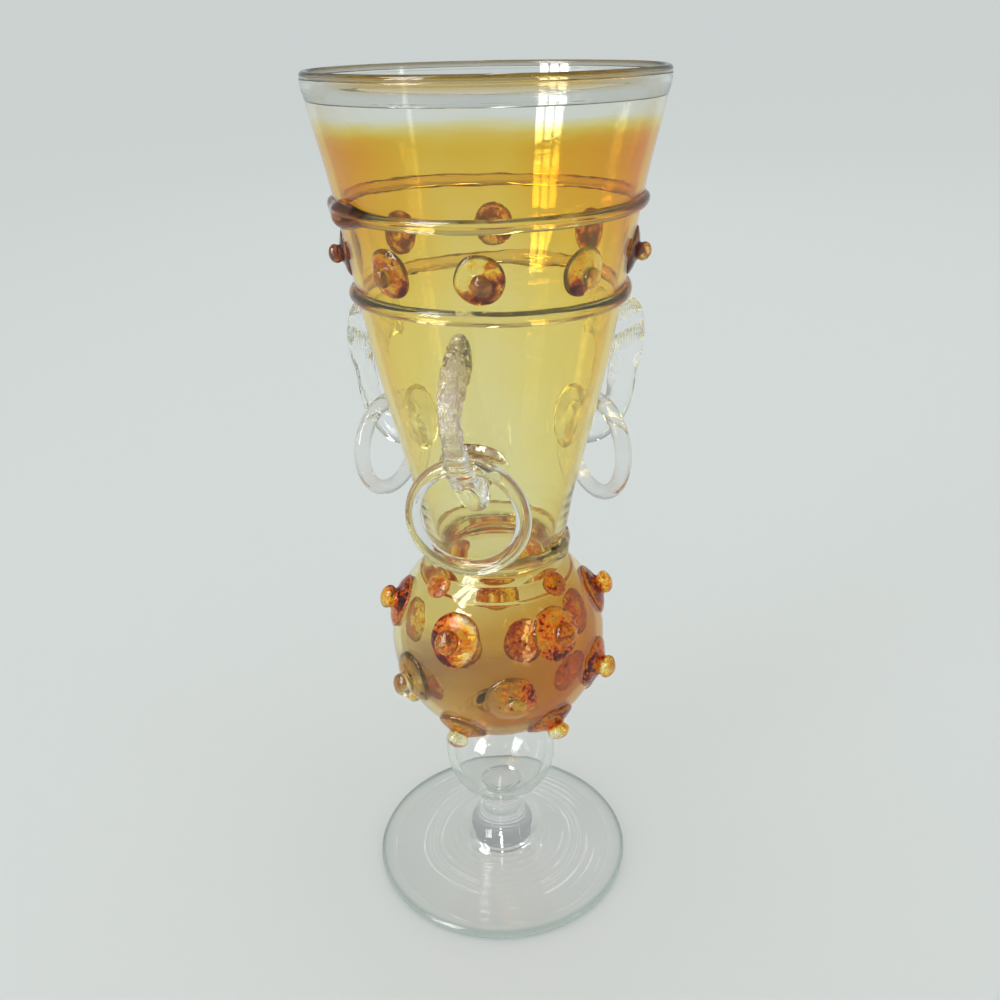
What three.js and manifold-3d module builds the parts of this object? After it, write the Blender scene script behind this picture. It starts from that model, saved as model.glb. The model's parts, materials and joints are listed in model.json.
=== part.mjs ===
// A blown-glass chalice: foot, hollow ball, prunted bulb and tall flared bowl, with three hot-worked
// handles that each trap a loose glass ring. Millimetres, +Z up, origin under the middle of the foot.
// The front is -Y, and an azimuth is counted from the front towards +X.
import * as THREE from "three";
import { mergeVertices } from "three/addons/utils/BufferGeometryUtils.js";
import Module from "manifold-3d";

const wasm = await Module();
wasm.setup();

// Clearance between two pieces that are fused on the real glass.
const clearance = 0.3;

// Foot and its neck
const footRadius = 50.5;
const footEdgeThickness = 3.2;
const footBearingWidth = 4.4;
const footHollowDepth = 2.6;
const neckRadius = 9.5;
const neckHeight = 31.2;
// Underside of the foot: share of the way out to the ring that it stands on.
const footHollowShares = [0, 0.35, 0.7];
// Top of the foot: share of the way out from the neck, and share of the height above the foot's edge.
const footTopShares = [
  [0.78, 0.05],
  [0.5, 0.12],
  [0.25, 0.23],
  [0.1, 0.38],
  [0.02, 0.55],
  [-0.03, 0.78],
];

// Ball between neck and bulb
const ballRadius = 21.4;
const ballWall = 2.8;
const ballFloor = 2.7;
const ballSeatRadius = 12.6;

// Bulb
const bulbRadius = 39.3;
const bulbWall = 2.6;
const bulbFloor = 3.2;
const waistRadius = 23.6;
const bulbNeckHeight = 4.6;
const bulbMouthRadius = 18.7;
const bulbMouthDepth = 4.5;
const bulbMouthRoll = 6.5;
// Underside of the rolled mouth: share of the roll outward, and share of it down.
const mouthRollShares = [0.45, 0.35];

// Bowl
const bowlHeight = 158.2;
const mouthRadius = 54.6;
const throatRadius = 20.4;
const bowlWall = 2.3;
const throatTaper = 24;
const lipThickness = 2.6;
// Outside of the bowl: share of its height, and share of the way out from the waist to the mouth.
const bowlFlareShares = [
  [0, 0],
  [0.03, 0.024],
  [0.07, 0.072],
  [0.145, 0.135],
  [0.24, 0.248],
  [0.43, 0.465],
  [0.62, 0.64],
  [0.81, 0.806],
  [0.93, 0.94],
  [1, 1],
];

// Band of glass wrapped round the outside of the lip
const bandHeight = 8.2;
const bandThickness = 1.2;
const bandBelowLip = 1.8;
// Outside of the band: share of its height, and share of its thickness.
const bandEdgeShares = [
  [0.12, 0.35],
  [0.3, 1],
  [0.7, 1],
  [0.95, 0.5],
];

// Trails of glass wound round the outside, each with the lump where its ends cross
const waistTrailLevel = 2.6;
const waistTrailHeight = 6.2;
const waistTrailThickness = 2.6;
const lowerTrailHeight = 4.6;
const lowerTrailThickness = 2.4;
const upperTrailHeight = 4.1;
const upperTrailThickness = 2.1;
const trailWaver = 0.5;
// Shares of the bowl's height at which the upper trails and the prunts between them lie
const lowerTrailShare = 0.5904;
const upperTrailShare = 0.7611;
const bowlPruntShare = 0.6643;
// level is the height of a trail's middle over the bowl's lower end.
const trails = [
  { name: "waist_trail", level: waistTrailLevel,
    height: waistTrailHeight, thickness: waistTrailThickness, lumpAzimuth: 66 },
  { name: "lower_trail", level: bowlHeight * lowerTrailShare,
    height: lowerTrailHeight, thickness: lowerTrailThickness, lumpAzimuth: 158 },
  { name: "upper_trail", level: bowlHeight * upperTrailShare,
    height: upperTrailHeight, thickness: upperTrailThickness, lumpAzimuth: -62 },
];
// How much the lump swells the trail, and the angle in degrees over which it does.
const lumpShare = 0.32;
const lumpSpread = 9;
// Section of a trail: share of half its height, and share of its thickness.
const trailSectionShares = [
  [0, 0],
  [-1, 0],
  [-0.7, 0.72],
  [0, 1],
  [0.7, 0.72],
  [1, 0],
];

// Prunts: flat blobs with a pulled nub, by azimuth and by height on their wall
const bowlPruntRadius = 7.3;
const bulbPruntRadius = 9.1;
const shoulderPruntRadius = 5.2;
// Shares of a prunt's radius: how high its dome is, how wide its nub, and how far the nub reaches
const pruntShares = { dome: 0.3, nub: 0.38, reach: 0.78 };
const bowlPrunt = { radius: bowlPruntRadius, tallShare: 1.03, shares: pruntShares };
const bulbPrunt = { radius: bulbPruntRadius, tallShare: 1.08, shares: pruntShares };
const shoulderPrunt = { radius: shoulderPruntRadius, tallShare: 0.85, shares: pruntShares };
const bowlPruntAzimuths = [-4, 36.5, 81, 127, 178, -134, -88, -40.5];
const bulbRows = [
  { name: "shoulder_prunt", blob: shoulderPrunt, latitude: 47, azimuths: [-50, 49, 139, -130] },
  { name: "upper_prunt", blob: bulbPrunt, latitude: 24, azimuths: [-25, 34, 92, 155, -145, -83] },
  { name: "middle_prunt", blob: bulbPrunt, latitude: -7, azimuths: [-53, 6, 64.5, 121, 180, -114] },
  { name: "lower_prunt", blob: bulbPrunt, latitude: -39, azimuths: [-27.5, 38, 98, 158, -148, -88] },
];

// Profile of a blob: shares of its radius and dome, then shares of its nub's radius and height.
const blobDiscShares = [
  [0, 0],
  [0.5, 0],
  [1, 0],
  [0.93, 0.5],
  [0.7, 0.9],
];
const blobNubShares = [
  [1.1, 0],
  [0.9, 0.75],
  [0, 1],
];

// Handles: a gather on the wall, a strap that loops out from it, and a pinched fin below the lower trail
const handleRise = 56.7;
const handleTopBelowTrail = 3.4;
const strapRoot = 12.7;
const finFoot = 15.5;
const gatherRadius = 9.6;
const gatherRise = 11.6;
const gatherShares = { dome: 0.44, nub: 0.62, reach: 0.52 };
const gather = { radius: gatherRadius, tallShare: 1.25, shares: gatherShares };
const handleBevel = 2.6;
const strapOutShare = 0.86;
const finThicknessShare = 0.78;
// Shares of a handle's rise between which it thins to its fin
const finStartShare = 0.4;
const finFullShare = 0.7;
// How far each handle stands off the wall, its strap's width, its thickness, and its sideways sway
const frontReach = 26.3;
const frontStrap = 8;
const frontThickness = 8.6;
const frontSway = 2.1;
const frontLift = 2;
const rightReach = 28.8;
const rightStrap = 10.4;
const leftReach = 27.6;
const leftStrap = 6.4;
const sideThickness = 8.1;
const sideSway = 0.6;
const handles = [
  { name: "front", azimuth: -11.5, reach: frontReach, strap: frontStrap,
    thickness: frontThickness, lift: frontLift, sway: frontSway },
  { name: "right", azimuth: 117.5, reach: rightReach, strap: rightStrap,
    thickness: sideThickness, lift: 0, sway: sideSway },
  { name: "left", azimuth: -122, reach: leftReach, strap: leftStrap,
    thickness: sideThickness, lift: 0, sway: -sideSway },
];
// Outer edge of a handle. Round the bend: share of its reach from the wall, and share of the root's
// depth. Above it: share of its reach, and share of its rise.
const handleBendShares = [
  [0.2, 0],
  [0.42, 0.05],
  [0.62, 0.335],
  [0.78, 0.87],
  [strapOutShare, 1.43],
];
const handleFinShares = [
  [0.9, 0.45],
  [0.97, 0.55],
  [1, 0.67],
  [0.97, 0.8],
  [0.86, 0.89],
  [0.62, 0.955],
  [0.4, 1],
];
// Inner edge of a handle's loop above its cradle: share of the way out from the wall to the strap,
// and share of the way up from the seat to the fin.
const loopEdgeShares = [
  [0.7, 0.88],
  [1.07, 0.6],
  [1, 0.32],
];

// Loose rings, one hanging in each handle's loop, and how much wider than its tube the loop's cradle is
const frontRingDiameter = 40.2;
const frontRingTube = 5;
const rightRingDiameter = 41;
const rightRingTube = 5.8;
const leftRingDiameter = 39;
const leftRingTube = 5.6;
const ringPlay = 1.9;
const rings = [
  { handle: "front", diameter: frontRingDiameter, tube: frontRingTube },
  { handle: "right", diameter: rightRingDiameter, tube: rightRingTube },
  { handle: "left", diameter: leftRingDiameter, tube: leftRingTube },
];
// Angle in degrees at which the cradle runs on to the wall
const cradleRunOut = -140;

// Mesh counts
const roundSegments = 36;
const ballSegments = 24;
const bowlRows = 12;
const innerRows = 8;
const bulbSteps = 14;
const ballSteps = 8;
const edgeSteps = 4;
const blobSegments = 8;
const ringSegments = 28;
const tubeSegments = 8;
const handleOuterSteps = 20;
const handleInnerSteps = 9;
const cradleSteps = 6;
const bevelSteps = 2;

// Finishes
const clearGlass = new THREE.Color(0.9, 0.93, 0.92);
const amberGlass = new THREE.Color(0.86, 0.68, 0.27);
const strawGlass = new THREE.Color(0.84, 0.76, 0.5);
const trailGlass = new THREE.Color(0.74, 0.5, 0.3);
const fritGlass = new THREE.Color(0.76, 0.33, 0.08);
const glassRoughness = 0.05;

// Levels, from the table up
const ballCentre = neckHeight + clearance + Math.sqrt(ballRadius ** 2 - neckRadius ** 2);
const ballTop = ballCentre + Math.sqrt(ballRadius ** 2 - ballSeatRadius ** 2);
const bulbBottom = ballTop + clearance;
const bulbCentre = bulbBottom + Math.sqrt(bulbRadius ** 2 - ballSeatRadius ** 2);
const bulbShoulder = bulbCentre + Math.sqrt(bulbRadius ** 2 - waistRadius ** 2);
const bulbTop = bulbShoulder + bulbNeckHeight;
const bowlBottom = bulbTop + clearance;
const bowlTop = bowlBottom + bowlHeight;

const radians = THREE.MathUtils.degToRad;
const lerp = THREE.MathUtils.lerp;
const point = (radius, level) => new THREE.Vector2(radius, level);

// Points of a circle's arc in the profile plane, from one latitude to another.
function arc(radius, level, from, to, steps) {
  return Array.from({ length: steps + 1 }, (_, i) => {
    const latitude = radians(lerp(from, to, i / steps));
    return point(radius * Math.cos(latitude), level + radius * Math.sin(latitude));
  });
}

const latitudeOf = (rise, radius) => THREE.MathUtils.radToDeg(Math.asin(rise / radius));

// Turns a profile round the Z axis, with azimuth 0 at -Y.
function revolve(profile, segments = roundSegments) {
  return new THREE.LatheGeometry(profile, segments).rotateX(Math.PI / 2);
}

// Outer wall from the bulb's seat to the lip, which the prunts, trails and handles all sit on.
const bulbOuter = [
  ...arc(bulbRadius, bulbCentre, latitudeOf(bulbBottom - bulbCentre, bulbRadius),
    latitudeOf(bulbShoulder - bulbCentre, bulbRadius), bulbSteps),
  point(waistRadius, bulbTop),
];
const bowlOuter = new THREE.SplineCurve(
  bowlFlareShares.map(([up, out]) =>
    point(lerp(waistRadius, mouthRadius, out), lerp(bowlBottom, bowlTop - lipThickness / 2, up)))
).getPoints(bowlRows);
const wall = [...bulbOuter, ...bowlOuter];
const wallLengths = [0];
for (let i = 1; i < wall.length; i += 1) {
  wallLengths.push(wallLengths[i - 1] + wall[i].distanceTo(wall[i - 1]));
}

// Length along the wall from its lower end up to a level.
function wallLengthAt(level) {
  const i = Math.max(1, wall.findIndex((p) => p.y >= level));
  const share = (level - wall[i - 1].y) / (wall[i].y - wall[i - 1].y);
  return lerp(wallLengths[i - 1], wallLengths[i], share);
}

// Place and outward normal on the wall's profile at a length along it.
function wallAt(length) {
  const found = wallLengths.findIndex((sum) => sum >= length);
  const i = found < 0 ? wall.length - 1 : Math.max(1, found);
  const share = (length - wallLengths[i - 1]) / (wallLengths[i] - wallLengths[i - 1]);
  const along = wall[i].clone().sub(wall[i - 1]).normalize();
  return { place: wall[i - 1].clone().lerp(wall[i], share), normal: point(along.y, -along.x) };
}

const wallRadius = (level) => wallAt(wallLengthAt(level)).place.x;

// A point that stands off the wall by height, at an azimuth in degrees and a length along the wall.
function offWall(azimuth, length, height) {
  const { place, normal } = wallAt(length);
  const radius = place.x + normal.x * height;
  const angle = radians(azimuth);
  const level = place.y + normal.y * height;
  return new THREE.Vector3(radius * Math.sin(angle), -radius * Math.cos(angle), level);
}

// A blob of glass pressed on to the wall: a domed disc, with a nub pulled out of its middle.
function blobOnWall({ radius, tallShare, shares }, azimuth, level) {
  const dome = radius * shares.dome;
  const nubRadius = radius * shares.nub;
  const reach = radius * shares.reach;
  const profile = [
    ...blobDiscShares.map(([out, up]) => point(radius * out, dome * up)),
    ...blobNubShares.map(([out, up]) => point(nubRadius * out, lerp(dome, reach, up))),
  ];
  const blob = new THREE.LatheGeometry(profile, blobSegments);
  const places = blob.getAttribute("position");
  const middle = wallLengthAt(level);
  for (let i = 0; i < places.count; i += 1) {
    const length = middle - places.getZ(i) * tallShare;
    const turn = THREE.MathUtils.radToDeg(places.getX(i) / wallAt(length).place.x);
    const placed = offWall(azimuth + turn, length, places.getY(i) + clearance);
    places.setXYZ(i, placed.x, placed.y, placed.z);
  }
  return blob;
}

// A closed ring of sections, each a list of points, joined into one tube.
function joinSections(sections) {
  const size = sections[0].length;
  const geometry = new THREE.BufferGeometry().setFromPoints(sections.flat());
  const index = [];
  sections.forEach((_, i) => {
    const next = (i + 1) % sections.length;
    for (let j = 0; j < size; j += 1) {
      const side = (j + 1) % size;
      index.push(i * size + j, next * size + j, next * size + side);
      index.push(i * size + j, next * size + side, i * size + side);
    }
  });
  return geometry.setIndex(index);
}

// A trail wound once round the wall: flat where it touches, round outside, thicker where its ends cross.
function trailOnWall({ level, height, thickness, lumpAzimuth }) {
  const middle = wallLengthAt(bowlBottom + level);
  const sections = Array.from({ length: roundSegments }, (_, i) => {
    const azimuth = (i * 360) / roundSegments;
    const away = THREE.MathUtils.euclideanModulo(azimuth - lumpAzimuth + 180, 360) - 180;
    const swell = 1 + lumpShare * Math.exp(-((away / lumpSpread) ** 2));
    const drift = trailWaver * Math.sin(radians(2 * azimuth + lumpAzimuth));
    return trailSectionShares.map(([up, out]) =>
      offWall(azimuth, middle + drift + (up * height * swell) / 2, clearance + out * thickness * swell));
  });
  return joinSections(sections);
}

// Solids for joining and cutting
function toSolid(geometry) {
  const bare = geometry.clone();
  bare.deleteAttribute("normal");
  bare.deleteAttribute("uv");
  const merged = mergeVertices(bare);
  return new wasm.Manifold(new wasm.Mesh({
    numProp: 3,
    vertProperties: merged.getAttribute("position").array,
    triVerts: new Uint32Array(merged.index.array),
  }));
}

function toGeometry(solid) {
  const mesh = solid.getMesh();
  return new THREE.BufferGeometry()
    .setAttribute("position", new THREE.BufferAttribute(mesh.vertProperties, 3))
    .setIndex(new THREE.BufferAttribute(mesh.triVerts, 1));
}

// Pieces of the stem and vessel, each a profile turned round the axis

function foot() {
  const rise = neckHeight - footEdgeThickness;
  const bearingInner = footRadius - footEdgeThickness / 2 - footBearingWidth;
  const hollow = footHollowShares.map((out) => point(out * bearingInner, footHollowDepth * (1 - out ** 2)));
  const edge = arc(footEdgeThickness / 2, footEdgeThickness / 2, -90, 75, edgeSteps)
    .map((p) => point(p.x + footRadius - footEdgeThickness / 2, p.y));
  const top = footTopShares.map(([out, up]) =>
    point(lerp(neckRadius, footRadius, out), footEdgeThickness + up * rise));
  return revolve([...hollow, point(bearingInner, 0), ...edge, ...top,
    point(neckRadius, neckHeight), point(0, neckHeight)]);
}

function ball() {
  const innerRadius = ballRadius - ballWall;
  const floor = neckHeight + clearance + ballFloor;
  const outer = arc(ballRadius, ballCentre, latitudeOf(neckHeight + clearance - ballCentre, ballRadius),
    latitudeOf(ballTop - ballCentre, ballRadius), ballSteps);
  const inner = arc(innerRadius, ballCentre, latitudeOf(ballTop - ballCentre, innerRadius),
    latitudeOf(floor - ballCentre, innerRadius), ballSteps);
  return revolve([point(0, neckHeight + clearance), ...outer, ...inner, point(0, floor)], ballSegments);
}

function bulb() {
  const innerRadius = bulbRadius - bulbWall;
  const floor = bulbBottom + bulbFloor;
  const [rollOut, rollDown] = mouthRollShares;
  const mouth = [
    point(bulbMouthRadius, bulbTop),
    point(bulbMouthRadius, bulbTop - bulbMouthDepth),
    point(bulbMouthRadius + bulbMouthRoll * rollOut, bulbTop - bulbMouthDepth - bulbMouthRoll * rollDown),
  ];
  const inner = arc(innerRadius, bulbCentre,
    latitudeOf(bulbTop - bulbMouthDepth - bulbMouthRoll - bulbCentre, innerRadius),
    latitudeOf(floor - bulbCentre, innerRadius), bulbSteps);
  return revolve([point(0, bulbBottom), ...bulbOuter, ...mouth, ...inner, point(0, floor)]);
}

function bowl() {
  const lip = arc(lipThickness / 2, bowlTop - lipThickness / 2, 0, 180, edgeSteps)
    .map((p) => point(p.x + mouthRadius - lipThickness / 2, p.y));
  const thickest = waistRadius - throatRadius;
  const inner = Array.from({ length: innerRows }, (_, i) => {
    const level = lerp(bowlTop - lipThickness * 2, bowlBottom, i / (innerRows - 1));
    const share = Math.min(1, (level - bowlBottom) / throatTaper);
    return point(wallRadius(level) - lerp(thickest, bowlWall, share), level);
  });
  const outer = bowlOuter.slice(0, -1);
  return revolve([...outer, ...lip, ...inner, outer[0]]);
}

function rimBand() {
  const top = bowlTop - bandBelowLip;
  const levels = [top, top - bandHeight / 2, top - bandHeight];
  const inner = levels.map((level) => point(wallRadius(level) + clearance, level));
  const outer = bandEdgeShares.map(([up, out]) => {
    const level = top - bandHeight * (1 - up);
    return point(wallRadius(level) + clearance + out * bandThickness, level);
  });
  return revolve([...inner, ...outer, inner[0]]);
}

// The space that a piece on the wall has to leave free, as one solid.
const keepClear = toSolid(revolve([
  point(0, bulbBottom),
  ...wall.map((p) => point(p.x + clearance, p.y)),
  point(0, bowlTop - lipThickness / 2),
]));

// Heights and places that a handle and its ring share
function handleFrame({ name, azimuth, reach, strap, lift }) {
  const trail = trails.find(({ name }) => name === "lower_trail");
  const top = bowlBottom + trail.level - trail.height / 2 - handleTopBelowTrail + lift;
  const bottom = top - handleRise;
  const inner = wallRadius(bottom + gatherRise);
  const outer = inner + reach;
  const seat = bottom + strapRoot;
  const strapInner = lerp(inner, outer, strapOutShare) - strap;
  const cradle = rings.find(({ handle: held }) => held === name).tube / 2 + ringPlay;
  return { azimuth, top, bottom, inner, outer, seat, strapInner, cradle, hang: strapInner - cradle };
}

// The flat outline of a handle in the plane through the axis: x outward, y up.
function handleOutline(spec) {
  const { top, bottom, inner, outer, seat, strapInner, cradle, hang } = handleFrame(spec);
  const edge = [
    ...handleBendShares.map(([out, up]) => point(lerp(inner, outer, out), lerp(bottom, seat, up))),
    ...handleFinShares.map(([out, up]) => point(lerp(inner, outer, out), lerp(bottom, top, up))),
  ];
  const finBottom = top - finFoot;
  const finInner = wallRadius(finBottom) - handleBevel * 2;
  const rootInner = inner - handleBevel * 2;
  const loop = [
    point(wallRadius(finBottom) + clearance, finBottom),
    ...loopEdgeShares.map(([out, up]) =>
      point(lerp(wallRadius(finBottom), strapInner, out), lerp(seat, finBottom, up))),
  ];
  const bend = arc(cradle, seat + cradle, 0, cradleRunOut, cradleSteps).map((p) => point(p.x + hang, p.y));
  return new THREE.Shape([
    point(rootInner, bottom + handleBevel),
    ...new THREE.SplineCurve(edge).getPoints(handleOuterSteps),
    point(finInner, top - handleBevel),
    point(finInner, finBottom + handleBevel),
    ...new THREE.SplineCurve(loop).getPoints(handleInnerSteps),
    ...bend,
    point(rootInner, seat + cradle),
  ]);
}

// A handle: its outline given a round-edged thickness, joined to its gather and cut clear of the wall.
function handle(spec) {
  const { azimuth, top, bottom } = handleFrame(spec);
  const plate = new THREE.ExtrudeGeometry(handleOutline(spec), {
    depth: spec.thickness - 2 * handleBevel,
    bevelEnabled: true,
    bevelThickness: handleBevel,
    bevelSize: handleBevel,
    bevelOffset: -handleBevel,
    bevelSegments: bevelSteps,
  });
  const angle = radians(azimuth);
  const outward = new THREE.Vector3(Math.sin(angle), -Math.cos(angle), 0);
  const sideways = new THREE.Vector3(-Math.cos(angle), -Math.sin(angle), 0);
  const places = plate.getAttribute("position");
  for (let i = 0; i < places.count; i += 1) {
    const rise = THREE.MathUtils.clamp((places.getY(i) - bottom) / (top - bottom), 0, 1);
    const thin = lerp(1, finThicknessShare, THREE.MathUtils.smoothstep(rise, finStartShare, finFullShare));
    const sway = spec.sway * Math.sin(rise ** 3 * 2 * Math.PI);
    const side = (places.getZ(i) - spec.thickness / 2 + handleBevel) * thin - sway;
    const placed = outward.clone().multiplyScalar(places.getX(i)).addScaledVector(sideways, side);
    places.setXYZ(i, placed.x, placed.y, places.getY(i));
  }
  const pad = toSolid(blobOnWall(gather, azimuth, bottom + gatherRise));
  return toGeometry(toSolid(plate).add(pad).subtract(keepClear));
}

const chalice = new THREE.Group();

function addPiece(name, geometry, color) {
  const material = new THREE.MeshStandardMaterial({ color, roughness: glassRoughness, metalness: 0 });
  const mesh = new THREE.Mesh(geometry, material);
  mesh.name = name;
  return mesh;
}

chalice.add(
  addPiece("foot", foot(), clearGlass),
  addPiece("ball_knop", ball(), clearGlass),
  addPiece("bulb", bulb(), strawGlass),
  addPiece("bowl", bowl(), amberGlass),
  addPiece("rim_band", rimBand(), clearGlass),
);

trails.forEach((trail) => chalice.add(addPiece(trail.name, trailOnWall(trail), trailGlass)));

bowlPruntAzimuths.forEach((azimuth, i) => {
  const blob = blobOnWall(bowlPrunt, azimuth, bowlBottom + bowlHeight * bowlPruntShare);
  chalice.add(addPiece(`bowl_prunt_${i + 1}`, blob, fritGlass));
});

bulbRows.forEach(({ name, blob, latitude, azimuths }) => {
  const level = bulbCentre + bulbRadius * Math.sin(radians(latitude));
  azimuths.forEach((azimuth, i) => {
    chalice.add(addPiece(`${name}_${i + 1}`, blobOnWall(blob, azimuth, level), fritGlass));
  });
});

handles.forEach((spec) => chalice.add(addPiece(`handle_${spec.name}`, handle(spec), clearGlass)));

// Each ring hangs in a group that stands at its resting point on the handle, turned to face outward.
rings.forEach(({ handle: held, diameter, tube }) => {
  const { azimuth, hang, seat } = handleFrame(handles.find(({ name }) => name === held));
  const angle = radians(azimuth);
  const hanger = new THREE.Group();
  hanger.position.set(hang * Math.sin(angle), -hang * Math.cos(angle), seat + clearance + tube / 2);
  hanger.rotation.z = angle;
  const meanRadius = (diameter - tube) / 2;
  const torus = new THREE.TorusGeometry(meanRadius, tube / 2, tubeSegments, ringSegments);
  const ring = addPiece(`ring_${held}`, torus, clearGlass);
  ring.rotation.set(Math.PI / 2, 0, 0);
  ring.position.z = -meanRadius;
  hanger.add(ring);
  chalice.add(hanger);
});

export default chalice;
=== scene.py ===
"""A blown-glass chalice: its fine glass surfaces, fitted round the fixed frame, with its floor and light."""

import json
import math

import bmesh
import bpy
import numpy as np
from mathutils import Matrix, Vector, noise


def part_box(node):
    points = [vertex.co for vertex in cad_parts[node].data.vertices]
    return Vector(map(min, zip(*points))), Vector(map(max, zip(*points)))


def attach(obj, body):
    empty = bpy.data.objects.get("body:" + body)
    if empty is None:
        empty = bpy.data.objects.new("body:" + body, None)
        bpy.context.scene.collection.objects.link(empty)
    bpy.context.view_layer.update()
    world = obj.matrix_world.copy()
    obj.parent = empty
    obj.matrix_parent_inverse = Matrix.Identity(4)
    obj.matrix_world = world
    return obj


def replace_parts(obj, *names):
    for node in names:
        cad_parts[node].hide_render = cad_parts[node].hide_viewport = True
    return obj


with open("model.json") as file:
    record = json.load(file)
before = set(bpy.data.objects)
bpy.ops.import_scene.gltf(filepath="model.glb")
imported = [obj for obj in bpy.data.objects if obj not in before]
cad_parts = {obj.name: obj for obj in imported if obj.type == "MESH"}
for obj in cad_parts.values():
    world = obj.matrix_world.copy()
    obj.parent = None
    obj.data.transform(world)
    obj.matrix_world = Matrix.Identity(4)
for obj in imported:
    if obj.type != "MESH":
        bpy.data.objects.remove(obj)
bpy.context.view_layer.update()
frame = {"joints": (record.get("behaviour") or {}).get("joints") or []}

MM = 0.001
TURN = 2 * math.pi
UP = Vector((0, 0, 1))

# Sizes of the turned glass, the same as the frame's
CLEARANCE = 0.3 * MM
FOOT_RADIUS = 50.5 * MM
FOOT_EDGE = 3.2 * MM
FOOT_BEARING = 4.4 * MM
FOOT_HOLLOW = 2.6 * MM
NECK_RADIUS = 9.5 * MM
NECK_HEIGHT = 31.2 * MM
BALL_RADIUS = 21.4 * MM
BALL_WALL = 2.8 * MM
BALL_SEAT = 12.6 * MM
BULB_RADIUS = 39.3 * MM
BULB_WALL = 2.6 * MM
BULB_FLOOR = 3.2 * MM
BULB_NECK = 4.6 * MM
MOUTH_RADIUS = 18.7 * MM
MOUTH_DEPTH = 4.5 * MM
WAIST_RADIUS = 23.6 * MM
THROAT_RADIUS = 20.4 * MM
THROAT_TAPER = 24 * MM
BOWL_HEIGHT = 158.2 * MM
BOWL_WALL = 2.3 * MM
LIP_RADIUS = 54.6 * MM
LIP_THICKNESS = 2.6 * MM
BAND_HEIGHT = 6.2 * MM
BAND_THICKNESS = 0.4 * MM
BAND_BELOW_LIP = 1.8 * MM

# How far a fused piece reaches into the wall that it is fused to
FUSED = 0.06 * MM
# Distances from mark to mark: rings spun into the foot, and teeth of the comb that pinched the side fins
RIPPLE_PERIOD = 3.1 * MM
COMB_PERIOD = 1.05 * MM

# Levels, from the floor up
ball_centre = NECK_HEIGHT + CLEARANCE + math.sqrt(BALL_RADIUS**2 - NECK_RADIUS**2)
ball_top = ball_centre + math.sqrt(BALL_RADIUS**2 - BALL_SEAT**2)
bulb_bottom = ball_top + CLEARANCE
bulb_centre = bulb_bottom + math.sqrt(BULB_RADIUS**2 - BALL_SEAT**2)
bulb_shoulder = bulb_centre + math.sqrt(BULB_RADIUS**2 - WAIST_RADIUS**2)
bulb_top = bulb_shoulder + BULB_NECK
bowl_bottom = bulb_top + CLEARANCE
bowl_top = bowl_bottom + BOWL_HEIGHT
WAIST_TRAIL = bowl_bottom + 2.6 * MM
LOWER_TRAIL = bowl_bottom + BOWL_HEIGHT * 0.5904
UPPER_TRAIL = bowl_bottom + BOWL_HEIGHT * 0.7611

# Outside of the bowl: share of its height, and share of the way out from the waist to the mouth
BOWL_FLARE_SHARES = [
    (0, 0), (0.03, 0.024), (0.07, 0.072), (0.145, 0.135), (0.24, 0.248),
    (0.43, 0.465), (0.62, 0.64), (0.81, 0.806), (0.93, 0.94), (1, 1),
]
# Top of the foot: share of the way out from the neck, and share of the height above its edge
FOOT_TOP_SHARES = [
    (1, 0), (0.78, 0.05), (0.5, 0.12), (0.25, 0.23), (0.1, 0.38), (0.02, 0.55), (-0.03, 0.78), (0, 1),
]


# Curves and profiles

def lerp(a, b, share):
    return a + (b - a) * share


def smooth_line(points, steps):
    """A smooth line through the given points, with steps to each span."""
    knots = np.array([points[0], *points, points[-1]], float)
    line = []
    for i in range(len(points) - 1):
        p0, p1, p2, p3 = knots[i:i + 4]
        for t in np.linspace(0, 1, steps, endpoint=False):
            line.append(0.5 * (2 * p1 + (p2 - p0) * t + (2 * p0 - 5 * p1 + 4 * p2 - p3) * t**2
                               + (3 * p1 - p0 - 3 * p2 + p3) * t**3))
    return [tuple(p) for p in line] + [tuple(points[-1])]


def arc(radius, middle, start, end, steps):
    """Points of a circle's arc in the profile plane, between two latitudes in degrees."""
    out, up = middle
    turns = [math.radians(lerp(start, end, i / steps)) for i in range(steps + 1)]
    return [(out + radius * math.cos(t), up + radius * math.sin(t)) for t in turns]


def latitude(rise, radius):
    return math.degrees(math.asin(max(-1, min(1, rise / radius))))


def facing(azimuth):
    """Directions outward and sideways at an azimuth in degrees."""
    a = math.radians(azimuth)
    return Vector((math.sin(a), -math.cos(a), 0)), Vector((math.cos(a), math.sin(a), 0))


bulb_outside = arc(BULB_RADIUS, (0, bulb_centre), latitude(bulb_bottom - bulb_centre, BULB_RADIUS),
                   latitude(bulb_shoulder - bulb_centre, BULB_RADIUS), 90)
bowl_outside = smooth_line(
    [(lerp(WAIST_RADIUS, LIP_RADIUS, out), lerp(bowl_bottom, bowl_top - LIP_THICKNESS / 2, up))
     for up, out in BOWL_FLARE_SHARES], 12)
wall = np.array(bulb_outside + [(WAIST_RADIUS, bulb_top)] + bowl_outside[1:])
wall_lengths = np.concatenate([[0], np.cumsum(np.hypot(*np.diff(wall, axis=0).T))])


def wall_radius(level):
    """Outer radius of the bulb or bowl at a level."""
    return np.interp(level, wall[:, 1], wall[:, 0])


def wall_length(level):
    """Length along the outside of the wall, from the bulb's seat up to a level."""
    return float(np.interp(level, wall[:, 1], wall_lengths))


# Node trees, written as formulas

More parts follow.
